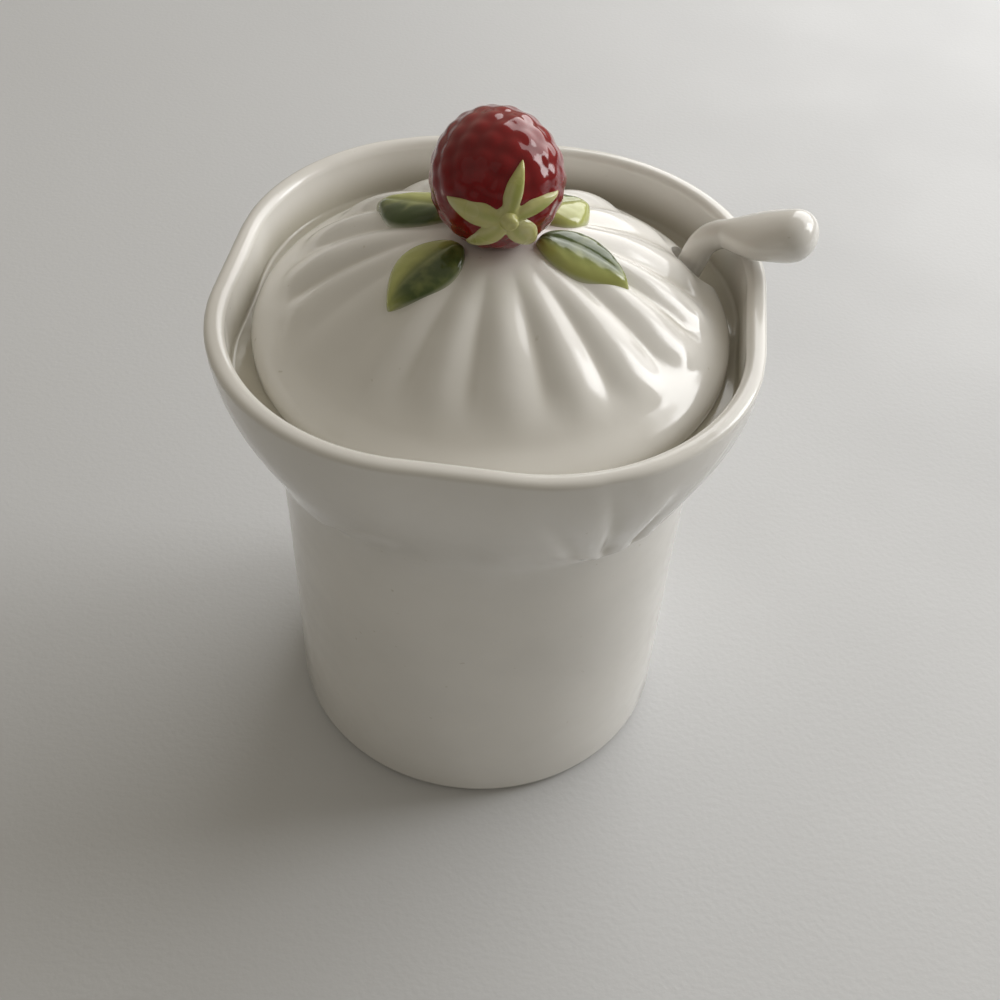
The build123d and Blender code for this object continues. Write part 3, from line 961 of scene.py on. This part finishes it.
def soft_lamp(name, place, width, height, power, tint):
    """A soft box that faces the pot."""
    lamp = bpy.data.lights.new(name, "AREA")
    lamp.shape, lamp.size, lamp.size_y = "RECTANGLE", width, height
    lamp.energy, lamp.color = power, tint
    holder = bpy.data.objects.new(name, lamp)
    bpy.context.scene.collection.objects.link(holder)
    holder.location = place
    holder.rotation_euler = (LAMP_AIM - Vector(place)).to_track_quat("-Z", "Y").to_euler()


class JAMPOT_OT_stage(bpy.types.Operator):
    """Set up the pale floor, the soft light and the camera"""

    bl_idname = "jampot.stage"
    bl_label = "Stage"

    def execute(self, context):
        scene = context.scene
        bm = bmesh.new()
        bmesh.ops.create_grid(bm, x_segments=8, y_segments=8, size=6)
        floor = bpy.data.objects.new("table", to_mesh(bm, "table"))
        scene.collection.objects.link(floor)
        paper = Glaze("pale_table")
        cloud = paper.spread(paper.noise(3, 2), 0.3, 0.7)
        tone = paper.mix(cloud, (0.60, 0.608, 0.622), (0.63, 0.638, 0.652))
        roughness = paper.spread(paper.noise(20, 2), 0.3, 0.7, 0.55, 0.7)
        floor.data.materials.append(paper.finish(tone, roughness, paper.noise(900, 2), 0.00005))

        for lamp in LAMPS:
            soft_lamp(*lamp)

        world = bpy.data.worlds.new("room")
        world.use_nodes = True
        scene.world = world
        nodes, links = world.node_tree.nodes, world.node_tree.links
        sky = nodes["Background"]
        sky.inputs["Color"].default_value = (0.310, 0.284, 0.236, 1)
        facing = nodes.new("ShaderNodeVectorMath")
        facing.operation = "DOT_PRODUCT"
        facing.inputs[1].default_value = (0.3, 0.9, 0.3)
        links.new(nodes.new("ShaderNodeTexCoord").outputs["Generated"], facing.inputs[0])
        level = nodes.new("ShaderNodeMapRange")
        for key, value in (("From Min", -0.8), ("From Max", 0.9), ("To Min", 0.42), ("To Max", 1.4)):
            level.inputs[key].default_value = value
        links.new(facing.outputs["Value"], level.inputs["Value"])
        links.new(level.outputs["Result"], sky.inputs["Strength"])
        backdrop = nodes.new("ShaderNodeBackground")
        backdrop.inputs["Color"].default_value = (0.78, 0.775, 0.765, 1)
        seen, either = nodes.new("ShaderNodeLightPath"), nodes.new("ShaderNodeMixShader")
        links.new(seen.outputs["Is Camera Ray"], either.inputs[0])
        links.new(sky.outputs[0], either.inputs[1])
        links.new(backdrop.outputs[0], either.inputs[2])
        links.new(either.outputs[0], nodes["World Output"].inputs["Surface"])

        eye = bpy.data.cameras.new("camera")
        eye.sensor_width, eye.lens, eye.clip_start = 36, 47.7, 0.01
        camera = bpy.data.objects.new("camera", eye)
        scene.collection.objects.link(camera)
        spot, aim = Vector((0.01927, -0.16936, 0.22368)), Vector((0.00293, 0.00028, 0.04417))
        straight = (aim - spot).to_track_quat("-Z", "Y")
        camera.location = spot
        camera.rotation_euler = (straight @ Quaternion((0, 0, 1), math.radians(3.126))).to_euler()
        scene.camera = camera
        scene.view_settings.view_transform = "Standard"
        return {"FINISHED"}


PIECES = (
    JAMPOT_OT_stage, JAMPOT_OT_pot, JAMPOT_OT_lid, JAMPOT_OT_berry, JAMPOT_OT_calyx, JAMPOT_OT_leaves,
    JAMPOT_OT_spoon,
)


class JAMPOT_PT_pieces(bpy.types.Panel):
    """Lists the pieces of the jam pot"""

    bl_idname = "JAMPOT_PT_pieces"
    bl_label = "Jam Pot"
    bl_space_type = "VIEW_3D"
    bl_region_type = "UI"
    bl_category = "Jam Pot"

    def draw(self, context):
        for piece in PIECES:
            self.layout.operator(piece.bl_idname)
        settings = context.scene.jam_pot
        for group in (settings.pot, settings.lid, settings.fruit, settings.spoon, settings.glaze):
            box = self.layout.box()
            for name in group.__annotations__:
                box.prop(group, name)


CLASSES = (
    JAMPOT_PG_pot, JAMPOT_PG_lid, JAMPOT_PG_fruit, JAMPOT_PG_spoon, JAMPOT_PG_glaze, JAMPOT_PG_settings,
    *PIECES, JAMPOT_PT_pieces,
)


def register():
    """Make the classes and the settings known."""
    for item in CLASSES:
        bpy.utils.register_class(item)
    bpy.types.Scene.jam_pot = PointerProperty(type=JAMPOT_PG_settings)


def unregister():
    """Take the settings and the classes away again."""
    del bpy.types.Scene.jam_pot
    for item in reversed(CLASSES):
        bpy.utils.unregister_class(item)


def main():
    """Build every piece in order."""
    register()
    bpy.ops.jampot.stage()
    bpy.ops.jampot.pot()
    bpy.ops.jampot.lid()
    bpy.ops.jampot.berry()
    bpy.ops.jampot.calyx()
    bpy.ops.jampot.leaves()
    bpy.ops.jampot.spoon()


if __name__ == "__main__":
    main()
